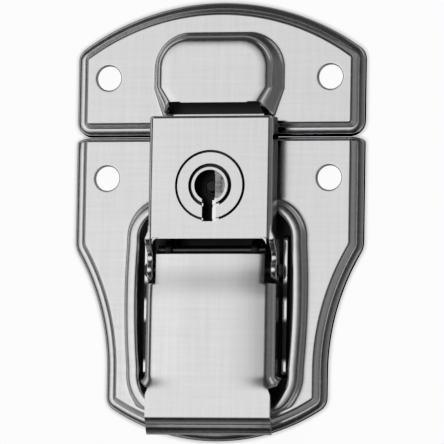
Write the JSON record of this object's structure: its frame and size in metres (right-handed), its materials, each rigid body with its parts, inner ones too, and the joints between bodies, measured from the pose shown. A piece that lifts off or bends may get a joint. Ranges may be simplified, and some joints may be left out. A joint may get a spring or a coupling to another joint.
{
  "type": "surface mount case latch",
  "caption": "Plated surface mount case latch: a pull lever draws a keyed hasp over the nose of a rounded keeper plate, above a waisted base plate with a raised pocket rim.",
  "frame": {"origin": "middle of the footprint on the mounting face", "axes": "+X across the latch, +Y from the base toward the keeper, +Z out of the case"},
  "size_m": [0.05, 0.0748, 0.0093],
  "materials": {
    "plated": "bright nickel plate",
    "bracket": "dark, unplated steel",
    "pins": "dull",
    "lock": "plain"
  },
  "bodies": {
    "base": {"base_plate": "plated", "pivot_bracket": "bracket", "keeper_plate": "plated", "hook_plate": "bracket", "lever_pin": "pins"},
    "lever": {"lever": "plated"},
    "hasp": {"hasp": "plated", "hasp_pin": "pins", "lock_case": "bracket", "key_post": "bracket", "bolt_stud": "lock", "bolt_spring": "lock"},
    "bolt": {"lock_bolt": "lock"}
  },
  "joints": [
    {"name": "lever_lift", "type": "hinge", "parent": "base", "child": "lever", "pos_m": [0, -0.0054, 0.0052], "axis": [-1, 0, 0], "range_deg": [0, 80]},
    {"name": "hasp_fold", "type": "hinge", "parent": "lever", "child": "hasp", "pos_m": [0, -0.0087, 0.0044], "axis": [1, 0, 0], "range_deg": [0, 96]},
    {"name": "bolt_slide", "type": "slide", "parent": "hasp", "child": "bolt", "axis": [0, 1, 0], "range_m": [0, 0.0019]}
  ],
  "couplings": [
    {"joint": "hasp_fold", "follows": "lever_lift", "ratio": 1.2}
  ]
}
